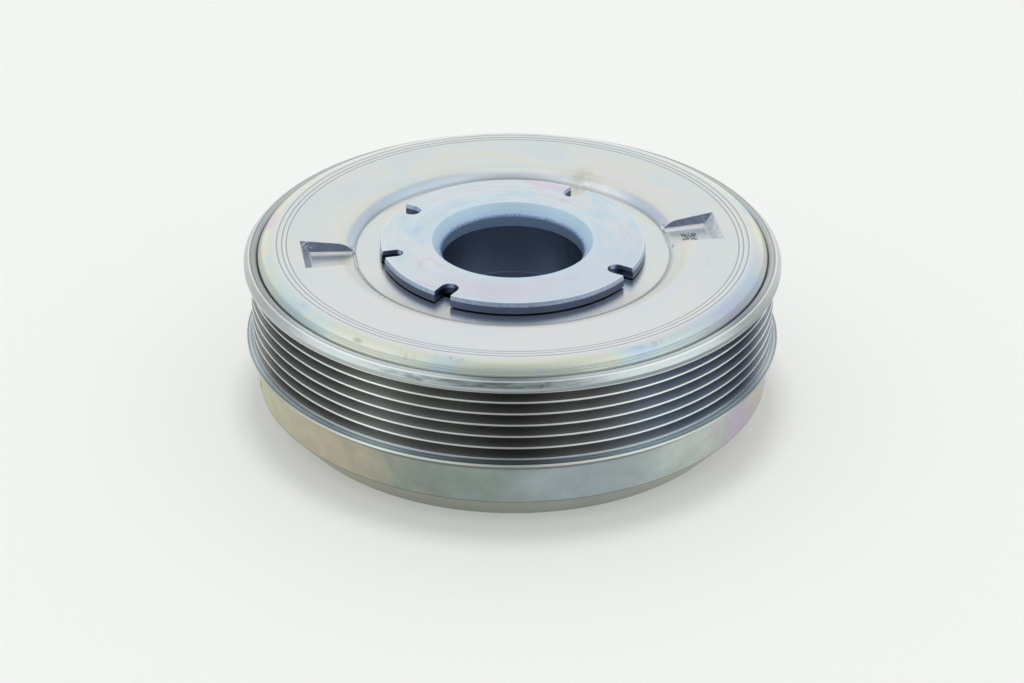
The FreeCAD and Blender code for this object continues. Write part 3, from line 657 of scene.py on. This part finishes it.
def make_plate_finish():
    finish = Finish("zinc_plate")
    place = Place(finish)
    wall = finish.fade(place.up, 0.85, 0.35)
    colour = finish.mix(wall, plate_top(finish, place), plate_rim(finish, place))
    # Painted highlight along the rim's top edge.
    edge = finish.fade(place.radius, PLATE_RADIUS - 0.75, PLATE_RADIUS - 0.4)
    edge = edge * finish.fade(place.height, PLATE_TOP - 0.25, PLATE_TOP - 0.1)
    colour = finish.mix(edge * 0.7, colour, EDGE_HIGHLIGHT)
    dish = finish.fade(place.radius, DISH_RADIUS + 1.3, DISH_RADIUS - 0.4)
    dish_foot = PLATE_TOP - DISH_DEPTH
    depth = (place.height - dish_foot) / DISH_DEPTH
    speckle = (finish.noise(place.point, 1600.0, 4.0, 0.7) - 0.5) * 0.5
    colour = finish.mix(dish, colour, finish.ramp(depth + speckle, DISH_STOPS))
    bore = finish.fade(place.height, dish_foot + 0.15, dish_foot - 0.15)
    bore = bore * finish.fade(place.radius, BORE_RADIUS + 1.0, BORE_RADIUS + 0.5)
    colour = finish.mix(bore, colour, BORE_BLUE)
    turned = finish.lines(place.radius, 9.0) * 0.6
    finish.shade(
        base_color=colour,
        metallic=1.0 - finish.maths("MAXIMUM", dish, bore * 0.7) * 0.85,
        roughness=satin(finish, place, 0.24, 0.40) + dish * 0.1,
        normal=finish.bump(turned, 0.012 * MM, finish.rounded(0.15 * MM)),
    )
    return finish.material


plate_finish = make_plate_finish()
print("plate finish has", len(plate_finish.node_tree.nodes), "nodes")

# %% [markdown]
# The pulley's front flange was turned and then handled. Its land shows fine lines, a painted
# highlight runs along its corner, and the scratches on its bevel run round with it. Round the
# flange it mirrors the room in light and dark stretches. Mirrors alone could give those, but then
# they would hang on where the lamps stand, so they are painted on as a ramp over the direction,
# which fixes them to the metal. Painted shade dulls the land and bevel in front and darkens the
# edge towards the right.

# %% The pulley's front flange
LAND_RADIUS = 75.8
BEVEL_FOOT = 45.92
SHADED_BEVEL_SPAN = (264.0, 11.0, 18.0)
SHADED_LAND_SPAN = (271.0, 5.0, 14.0)
EDGE_TURNS_DARK = (235.0, 300.0)
LAND_GREY = (0.36, 0.39, 0.42)
BEVEL_GREY = (0.26, 0.29, 0.29)
BEVEL_LIGHT = (0.62, 0.66, 0.66)
EDGE_GREY = (0.42, 0.45, 0.44)
EDGE_SHADE_SLATE = (0.20, 0.24, 0.27)
CORNER_HIGHLIGHT = (0.95, 0.97, 0.96)
FLANGE_SHADES = [
    (0.0, (0.80, 0.80, 0.80)),
    (0.40, (0.80, 0.80, 0.80)),
    (0.53, (0.62, 0.64, 0.64)),
    (0.585, (0.60, 0.63, 0.63)),
    (0.625, (1.0, 1.0, 1.0)),
    (0.71, (0.95, 1.0, 1.0)),
    (0.745, (0.50, 0.53, 0.54)),
    (0.79, (1.0, 1.0, 1.0)),
    (0.875, (0.94, 0.98, 1.0)),
    (0.91, (0.46, 0.50, 0.54)),
    (0.96, (0.74, 0.76, 0.77)),
    (1.0, (0.80, 0.80, 0.80)),
]


def flange_colour(finish, place, bright):
    """Land, bevel, corner and edge of the front flange, with painted shade in front
    and on the edge, painted reflections round it and a painted highlight on the corner.
    """
    # Painted shade: the land and the bevel are duller in front.
    shaded_land = finish.band(place.angle, *SHADED_LAND_SPAN)
    lines = finish.fade(finish.lines(place.radius, 3.0), 0.36, 0.56)
    land = finish.mix(lines * (1.0 - shaded_land * 0.7), LAND_GREY, bright)
    down_bevel = place.radius - place.height
    scratches = finish.noise(place.swept(16.0, 1.0, down_bevel), 1.0, 5.0, 0.7, 0.5)
    bevel = finish.mix(finish.fade(scratches, 0.35, 0.65), BEVEL_GREY, BEVEL_LIGHT)
    shaded_bevel = finish.band(place.angle, *SHADED_BEVEL_SPAN)
    bevel = finish.mix(shaded_bevel, finish.mix(0.8, bevel, bright), bevel)
    # Painted reflections: light and dark stretches round the flange.
    shade = finish.ramp(place.turn_share(), FLANGE_SHADES)
    land = finish.mix(1.0, land, shade, "MULTIPLY")
    bevel = finish.mix(0.5, bevel, shade, "MULTIPLY")
    sloped = finish.fade(place.radius, LAND_RADIUS, LAND_RADIUS + 0.1)
    colour = finish.mix(sloped, land, bevel)
    low = finish.fade(place.height, BEVEL_FOOT + 0.05, BEVEL_FOOT - 0.05)
    # Painted shade: the edge turns darker from the front round to the right.
    edge = finish.mix(finish.fade(place.angle, *EDGE_TURNS_DARK), EDGE_GREY, EDGE_SHADE_SLATE)
    edge_lines = finish.lines(place.height, 4.0) * 0.35
    colour = finish.mix(low, colour, finish.mix(edge_lines, edge, bright))
    # Painted highlight along the corner between land and bevel.
    corner = finish.band(place.radius, LAND_RADIUS + 0.08, 0.1, 0.12)
    return finish.mix(corner * 0.9, colour, CORNER_HIGHLIGHT)


# %% [markdown]
# Below the flange, the tips of the ribs shine where a belt would run, greyer in front as painted
# shade, while the grooves between them are matt and painted dark as shade. The rear lip is greyer,
# with painted shade on its seat, painted highlight lines on the last crest and above the lip, and
# painted shade on its underside. Round the whole rim runs a ramp of painted reflections. Each of
# these could be painted face by face. Masks of radius and height find them without it, and they
# would find the grooves again if the model's mesh changed.

# %% The pulley's grooves and rear lip
CREST_RADIUS = 75.5
LAST_CREST = 22.55
LIP_TOP = 22.0
LIP_REAR = 21.2
SLATE_GROOVE_SPAN = (330.0, 20.0, 30.0)
FRONT_GROOVE_SPAN = (268.0, 22.0, 30.0)
GROOVE_SHADE_DARK = (0.31, 0.32, 0.31)
GROOVE_SHADE_PALE = (0.40, 0.40, 0.39)
GROOVE_SLATE = (0.35, 0.38, 0.44)
SEAT_SHADE_SLATE = (0.29, 0.345, 0.36)
HIGHLIGHT_LINE_BLUE = (0.74, 0.80, 0.90)
LIP_GREY = (0.56, 0.60, 0.60)
LIP_UNDERSIDE_SHADE = (0.05, 0.055, 0.06)


def groove_colour(finish, place, dull):
    """The matt film between the ribs, painted dark as shade, bluer to the right
    and darker still to both sides as painted shade.
    """
    patches = finish.noise(place.swept(3.0, 0.5), 1.0, 3.0, 0.6)
    dark = finish.mix(dull * 0.5 + patches * 0.5, GROOVE_SHADE_DARK, GROOVE_SHADE_PALE)
    dark = finish.mix(finish.band(place.angle, *SLATE_GROOVE_SPAN), dark, GROOVE_SLATE)
    side = 1.0 - finish.band(place.angle, *FRONT_GROOVE_SPAN)
    return shaded(finish, dark, 1.0 - side * 0.2)


def lip_colour(finish, place, colour):
    """Painted highlights on the last crest and above the lip, painted shade on the seat
    behind the crest, and the rear lip's grey, over the rim's colour.
    """
    last = finish.band(place.height, LAST_CREST + 0.25, 0.24, 0.06)
    # Painted highlight along the last crest.
    colour = finish.mix(last * 0.8, colour, HIGHLIGHT_LINE_BLUE)
    lip = finish.fade(place.height, LIP_TOP + 0.1, LIP_TOP)
    colour = finish.mix(lip * 0.8, colour, LIP_GREY)
    seat = finish.band(place.height, (LAST_CREST + LIP_TOP) / 2, 0.27, 0.03)
    # Painted shade on the seat.
    colour = finish.mix(seat, colour, SEAT_SHADE_SLATE)
    # Painted highlight: a thin bright line above the lip.
    line = finish.band(place.height, LIP_TOP + 0.27, 0.05, 0.08)
    return finish.mix(line * 0.4, colour, HIGHLIGHT_LINE_BLUE)


# %% Put the pulley's finish together
GROOVES_FROM = 22.56
GROOVES_TO = 45.3
LAND_FROM = 74.4
LAND_SLOPE = 4.0
SHADED_CREST_SPAN = (264.0, 8.0, 20.0)
CREST_GREY = (0.52, 0.54, 0.54)
SHEEN_TOP = 1.4
RIM_SHEEN = [
    (0.0, (0.74, 0.74, 0.74)),
    (0.50, (0.80, 0.80, 0.80)),
    (0.54, (0.86, 0.86, 0.86)),
    (0.583, (0.53, 0.53, 0.53)),
    (0.625, (0.71, 0.71, 0.71)),
    (0.667, (0.98, 0.98, 0.98)),
    (0.708, (0.71, 0.71, 0.71)),
    (0.75, (0.45, 0.45, 0.45)),
    (0.79, (0.74, 0.74, 0.74)),
    (0.833, (0.92, 0.93, 0.94)),
    (0.875, (0.76, 0.78, 0.80)),
    (0.917, (0.40, 0.42, 0.45)),
    (0.958, (0.88, 0.88, 0.88)),
    (1.0, (0.74, 0.74, 0.74)),
]


def make_pulley_finish():
    finish = Finish("zinc_pulley")
    place = Place(finish)
    bright = zinc_film(finish, place, FILM_STOPS, 3.0, 0.1)
    dull = finish.noise(place.point, 900.0, 4.0, 0.7)
    front = finish.fade(place.height, GROOVES_TO - 0.8, GROOVES_TO)
    groove = finish.fade(place.radius, CREST_RADIUS - 0.02, CREST_RADIUS - 0.16)
    groove = groove * finish.fade(place.height, GROOVES_FROM - 0.05, GROOVES_FROM)
    groove = groove * (1.0 - front)
    # Painted shade: the grooves between the ribs get their dark colour.
    colour = finish.mix(groove, bright, groove_colour(finish, place, dull))
    # Painted shade: the crests are greyer, most in front.
    crest = finish.band(place.angle, *SHADED_CREST_SPAN) * 0.6 + 0.2
    colour = finish.mix(crest * (1.0 - groove), colour, CREST_GREY)
    colour = lip_colour(finish, place, colour)
    # Painted reflections: light and dark stretches round the whole rim.
    sheen = finish.ramp(place.turn_share(), RIM_SHEEN)
    sheen = finish.mix(1.0, sheen, (SHEEN_TOP,) * 3, "MULTIPLY")
    colour = finish.mix(1.0, colour, sheen, "MULTIPLY")
    # Painted shade under the rear lip, on its downward face.
    under = finish.fade(place.height, LIP_REAR + 0.25, LIP_REAR + 0.1)
    colour = finish.mix(under * finish.fade(place.up, -0.3, -0.7), colour, LIP_UNDERSIDE_SHADE)
    colour = finish.mix(front, colour, flange_colour(finish, place, bright))
    turned = finish.lines(place.height, 14.0) * 0.7 + dull * 0.3
    turned = turned - front * finish.maths("MAXIMUM", place.radius - LAND_FROM, 0.0) * LAND_SLOPE
    finish.shade(
        base_color=colour,
        metallic=1.0,
        roughness=satin(finish, place, 0.27, 0.40) + groove * 0.1,
        normal=finish.bump(turned, 0.015 * MM, finish.rounded(0.12 * MM)),
    )
    return finish.material


pulley_finish = make_pulley_finish()
print("pulley finish has", len(pulley_finish.node_tree.nodes), "nodes")

# %% [markdown]
# The heavy ring is cast iron, turned and plated. It is a darker grey than the cover, partly as
# painted shade, and its colour changes on the way round: straw, then rose, then a dark teal in
# front, green and violet beyond. These are the film's tints with painted reflections and painted
# shade in them. One noise could scatter such tints, but it would not put them where they are here.
# So they hang on the direction round the axis, and noise only breaks up their edges. The bevel is
# painted lighter as painted light, a fine dark line marks the turned corner above the bevel, and a
# painted shadow darkens the ring under the pulley's lip.

# %% Finish of the inertia ring
RING_BEVEL_TOP = 8.2
RING_TOP = 20.2
TINT_AND_SHADE_STOPS = [
    (0.0, (0.52, 0.51, 0.47)),
    (0.30, (0.46, 0.49, 0.47)),
    (0.54, (0.60, 0.61, 0.43)),
    (0.63, (0.52, 0.47, 0.37)),
    (0.71, (0.28, 0.33, 0.30)),
    (0.79, (0.37, 0.43, 0.46)),
    (0.88, (0.55, 0.60, 0.56)),
    (0.915, (0.56, 0.50, 0.60)),
    (0.95, (0.58, 0.54, 0.48)),
    (1.0, (0.52, 0.51, 0.47)),
]
LINE_AND_SHADOW_DARK = (0.14, 0.15, 0.13)
BEVEL_PAINTED_LIGHT = (0.51, 0.51, 0.43)
MARK_SPAN = (192.5, 0.9, 0.1)
MARK_RISE = (11.0, 1.4, 0.1)
MARK_FLOOR_RADIUS = 74.2
MARK_BLACK = (0.02, 0.02, 0.02)


def timing_mark(finish, place):
    """1 on the floor of the small mark that is cut into the ring."""
    mark = finish.band(place.angle, *MARK_SPAN) * finish.band(place.height, *MARK_RISE)
    return mark * finish.fade(place.radius, MARK_FLOOR_RADIUS + 0.02, MARK_FLOOR_RADIUS)


def make_ring_finish():
    finish = Finish("plated_ring")
    place = Place(finish)
    wander = (finish.noise(place.point, 70.0, 3.0, 0.6, 1.0) - 0.5) * 0.10
    # The film's tints with painted reflections and painted shade, darkest in front.
    colour = finish.ramp(place.turn_share(wander), TINT_AND_SHADE_STOPS)
    smears = finish.noise(place.swept(5.0, 0.12), 1.0, 4.0, 0.6, 1.0)
    colour = shaded(finish, colour, smears * 0.5 + 0.75)
    # Painted light: the bevel, which faces down, is made lighter.
    bevel = finish.fade(place.height, RING_BEVEL_TOP + 0.1, RING_BEVEL_TOP - 0.3)
    colour = finish.mix(bevel * 0.6, colour, BEVEL_PAINTED_LIGHT)
    corner = finish.band(place.height, RING_BEVEL_TOP, 0.09, 0.14)
    colour = finish.mix(corner * 0.75, colour, LINE_AND_SHADOW_DARK)
    # Painted shadow on the ring under the pulley's lip.
    lip_shadow = finish.fade(place.height, RING_TOP - 1.9, RING_TOP - 1.2)
    colour = finish.mix(lip_shadow * 0.75, colour, LINE_AND_SHADOW_DARK)
    colour = finish.mix(timing_mark(finish, place), colour, MARK_BLACK)
    turned = finish.lines(place.height, 5.0) * 0.6 + finish.noise(place.point, 800.0) * 0.4
    finish.shade(
        base_color=colour,
        metallic=1.0,
        roughness=satin(finish, place, 0.34, 0.5),
        normal=finish.bump(turned, 0.02 * MM, finish.rounded(0.25 * MM)),
    )
    return finish.material


ring_finish = make_ring_finish()
print("ring finish has", len(ring_finish.node_tree.nodes), "nodes")

# %% [markdown]
# The hub is a forging, turned where it fits and left dull inside its well. Deep in the bore it
# shows almost navy. The steel pieces behind it are plain, the bush is a natural bearing plastic,
# and the rings that drive and damp are black rubber with a faint bloom. Each could have layers like
# the cover's, but they are seldom seen, so two short recipes serve them all.

# %% Finishes of the hub and the hidden pieces
def make_metal_finish(name, dark, light, roughness, line_scale):
    """A plain turned metal: two close shades, fine lathe lines and satin roughness."""
    finish = Finish(name)
    place = Place(finish)
    clouds = finish.noise(place.point, 50.0, 3.0, 0.55, 0.8)
    colour = finish.mix(clouds, dark, light)
    turned = finish.lines(place.radius + place.height, line_scale)
    finish.shade(
        base_color=colour,
        metallic=1.0,
        roughness=satin(finish, place, roughness - 0.08, roughness + 0.08),
        normal=finish.bump(turned, 0.02 * MM, finish.rounded(0.3 * MM)),
    )
    return finish.material


def make_moulded_finish(name, dark, light, roughness):
    """Rubber or plastic: matt, slightly mottled, with a fine moulded grain."""
    finish = Finish(name)
    place = Place(finish)
    bloom = finish.noise(place.point, 120.0, 4.0, 0.6, 0.6)
    colour = finish.mix(bloom, dark, light)
    grain = finish.noise(place.point, 2500.0, 2.0)
    finish.shade(
        base_color=colour,
        roughness=roughness + bloom * 0.15,
        normal=finish.bump(grain, 0.02 * MM, finish.rounded(0.3 * MM)),
    )
    return finish.material


HUB_DARK, HUB_LIGHT = (0.27, 0.31, 0.40), (0.36, 0.40, 0.49)
STEEL_DARK, STEEL_LIGHT = (0.50, 0.51, 0.52), (0.60, 0.61, 0.62)
BUSH_DARK, BUSH_LIGHT = (0.60, 0.55, 0.44), (0.68, 0.63, 0.52)
RUBBER_DARK, RUBBER_LIGHT = (0.018, 0.018, 0.020), (0.045, 0.045, 0.048)
hub_finish = make_metal_finish("forged_hub", HUB_DARK, HUB_LIGHT, 0.36, 4.0)
steel_finish = make_metal_finish("plain_steel", STEEL_DARK, STEEL_LIGHT, 0.34, 6.0)
bush_finish = make_moulded_finish("bearing_plastic", BUSH_DARK, BUSH_LIGHT, 0.45)
rubber_finish = make_moulded_finish("black_rubber", RUBBER_DARK, RUBBER_LIGHT, 0.6)
for made in (hub_finish, steel_finish, bush_finish, rubber_finish):
    print(made.name, "has", len(made.node_tree.nodes), "nodes")

# %% [markdown]
# Each piece came from the model with a plain colour in its material slot. A finish takes the place
# of that colour. A table of names says which one, and whatever it doesn't name is rubber, as the
# four small buffers are.

# %% Give each piece its finish
FINISHES = {
    "belt_pulley": pulley_finish,
    "front_cover": cover_finish,
    "front_plate": plate_finish,
    "plate_dowel": steel_finish,
    "crank_hub": hub_finish,
    "inertia_ring": ring_finish,
    "damper_rubber": rubber_finish,
    "bearing_bush": bush_finish,
    "pulley_carrier": steel_finish,
    "decoupler_rubber": rubber_finish,
    "stop_plate": steel_finish,
    "stop_rivets": steel_finish,
}


def dress(node, material):
    """Puts one finish on a piece, in place of the model's plain colour."""
    slots = node.material_slots
    if not slots:
        node.data.materials.append(material)
    for slot in slots:
        slot.material = material


for name, node in nodes.items():
    dress(node, FINISHES.get(name, rubber_finish))
print("dressed", len(nodes), "pieces")

# %% [markdown]
# The table is a wide pale sheet. It is a stage and not part of the object. Under a photographer's
# lamps a table looks white and still takes a soft shadow. Paint alone would turn grey between the
# lamps, so part of its white is a glow, and only for rays that look at it: from the camera, from a
# shiny surface or through glass. For the light that falls on the object it stays plain paint.

# %% The table
FLOOR_HALF = 3.0
FLOOR_WHITE = (0.93, 0.935, 0.915)
FLOOR_CLOUD = (0.94, 0.94, 0.925)
SEEN_WHITE = (0.925, 0.93, 0.91)
SEEN_SHARE = 0.27


def ray_is(recipe, kind):
    """1 for a ray of one kind and 0 for the rest."""
    path = recipe.node("ShaderNodeLightPath").socket.node
    return Wire(recipe, path.outputs[kind])


def seen_directly(recipe):
    """1 for a ray from the camera, from a shiny surface or through glass, and 0 for the rest."""
    seen = ray_is(recipe, "Is Camera Ray")
    for kind in ("Is Glossy Ray", "Is Transmission Ray"):
        seen = recipe.maths("MAXIMUM", seen, ray_is(recipe, kind))
    return seen


def make_floor():
    h = FLOOR_HALF
    mesh = bpy.data.meshes.new("floor")
    mesh.from_pydata([(-h, -h, 0), (h, -h, 0), (h, h, 0), (-h, h, 0)], [], [(0, 1, 2, 3)])
    floor = bpy.data.objects.new("floor", mesh)
    bpy.context.scene.collection.objects.link(floor)
    finish = Finish("pale_table")
    point = finish.node("ShaderNodeTexCoord", output="Object")
    cloud = finish.noise(point, 3.0, 2.0)
    finish.shade(
        base_color=finish.mix(cloud, FLOOR_WHITE, FLOOR_CLOUD),
        roughness=0.6,
        specular_ior_level=0.2,
    )
    glow = finish.node("ShaderNodeEmission", sockets={"Color": as_colour(SEEN_WHITE)})
    share = seen_directly(finish) * SEEN_SHARE
    painted = Wire(finish, finish.shader.outputs[0])
    both = finish.node("ShaderNodeMixShader", sockets={0: share, 1: painted, 2: glow})
    finish.feed(finish.surface, both)
    mesh.materials.append(finish.material)


make_floor()
print("the table is", 2 * FLOOR_HALF, "metres wide")

# %% [markdown]
# Metal shows little but its surroundings, so the world is a small studio. The camera sees it plain
# white, and matt surfaces get one even light. A shiny surface sees a room: mid grey in front and
# bright at the back, dim low down in front and at the sides, with a glow low behind and a soft box
# on either side. A panorama of a real studio would do that too, but nobody can tune a picture. A
# ramp over the direction and a few fades can each be moved until the metal looks right.

# %% The world
EVEN_LIGHT = (0.69, 0.71, 0.70)
UPWARD_SHARE = 0.68
BACK_SHARE = 0.9
ROOM_LOW = -0.8
ROOM_SPAN = 1.8
ROOM_STOPS = [
    (0.0, (0.42, 0.44, 0.46)),
    (0.26, (0.38, 0.41, 0.44)),
    (0.60, (0.41, 0.44, 0.47)),
    (0.78, (0.62, 0.63, 0.64)),
    (0.93, (0.85, 0.85, 0.84)),
]
HORIZON_TOP = 0.28
HORIZON_BACK = 0.6
HORIZON_DIM = 0.5
GLOW_HEIGHTS = (0.32, 0.10)
GLOW_DEPTHS = (0.6, 0.85)
BACK_GLOW = (1.05, 1.05, 1.04)
SOFT_BOX_AIM = (0.70, -0.16, 0.70)
SOFT_BOX_EDGE = (0.84, 0.95)
SOFT_BOX_SHARE = 0.9
SOFT_BOX_WHITE = (1.05, 1.10, 1.12)
BLACK = (0.0, 0.0, 0.0)


def studio_room(recipe):
    """What a shiny surface sees in each direction."""
    direction = recipe.node("ShaderNodeTexCoord", output="Generated")
    split = recipe.node("ShaderNodeSeparateXYZ", sockets={0: direction}).socket.node
    upward = Wire(recipe, split.outputs["Z"])
    backward = Wire(recipe, split.outputs["Y"])
    lit = upward * UPWARD_SHARE + backward * BACK_SHARE
    room = recipe.ramp((lit - ROOM_LOW) / ROOM_SPAN, ROOM_STOPS)
    low = recipe.fade(upward, HORIZON_TOP, 0.0) * recipe.fade(backward, HORIZON_BACK, 0.1)
    room = recipe.mix(low * HORIZON_DIM, room, BLACK)
    glow = recipe.fade(upward, *GLOW_HEIGHTS) * recipe.fade(backward, *GLOW_DEPTHS)
    room = recipe.mix(glow, room, BACK_GLOW)
    for side in (-1, 1):
        aim = (side * SOFT_BOX_AIM[0], SOFT_BOX_AIM[1], SOFT_BOX_AIM[2])
        settings = {"operation": "DOT_PRODUCT"}
        facing = recipe.node("ShaderNodeVectorMath", settings, {0: direction, 1: aim}, "Value")
        soft_box = recipe.fade(facing, *SOFT_BOX_EDGE) * SOFT_BOX_SHARE
        room = recipe.mix(soft_box, room, SOFT_BOX_WHITE)
    return room


def make_world():
    world = bpy.data.worlds.new("studio")
    world.use_nodes = True
    recipe = Recipe(world.node_tree)
    colour = recipe.mix(seen_directly(recipe), EVEN_LIGHT, studio_room(recipe))
    colour = recipe.mix(ray_is(recipe, "Is Camera Ray"), colour, SEEN_WHITE)
    background = recipe.node("ShaderNodeBackground", sockets={"Color": colour})
    output = recipe.tree.nodes.new("ShaderNodeOutputWorld")
    recipe.feed(output.inputs["Surface"], background)
    bpy.context.scene.world = world
    return world


studio = make_world()
print("the world has", len(studio.node_tree.nodes), "nodes")

# %% [markdown]
# One small lamp hangs over the object and throws the shadows: a smaller lamp draws a sharper edge
# under the plate. A shiny surface doesn't see it, because the room above already holds its soft
# boxes, and a second bright square would show in every bevel.

# %% The lamp
LAMP_PLACE = Vector((0.0, 0.07, 1.4))
LAMP_SIZE = 0.3
LAMP_RADIANCE = 19.5


def make_lamp(name, place, size, radiance):
    """A square lamp that aims at the origin, with its watts worked out from its brightness."""
    data = bpy.data.lights.new(name, "AREA")
    data.shape = "SQUARE"
    data.size = size
    data.energy = radiance * math.pi * size * size
    lamp = bpy.data.objects.new(name, data)
    bpy.context.scene.collection.objects.link(lamp)
    lamp.location = place
    lamp.visible_glossy = False
    lamp.rotation_euler = (-place).to_track_quat("-Z", "Y").to_euler()
    return lamp


lamp = make_lamp("soft_box", LAMP_PLACE, LAMP_SIZE, LAMP_RADIANCE)
bpy.context.scene.view_settings.view_transform = "Standard"
print("the lamp gives", round(lamp.data.energy, 2), "watts")
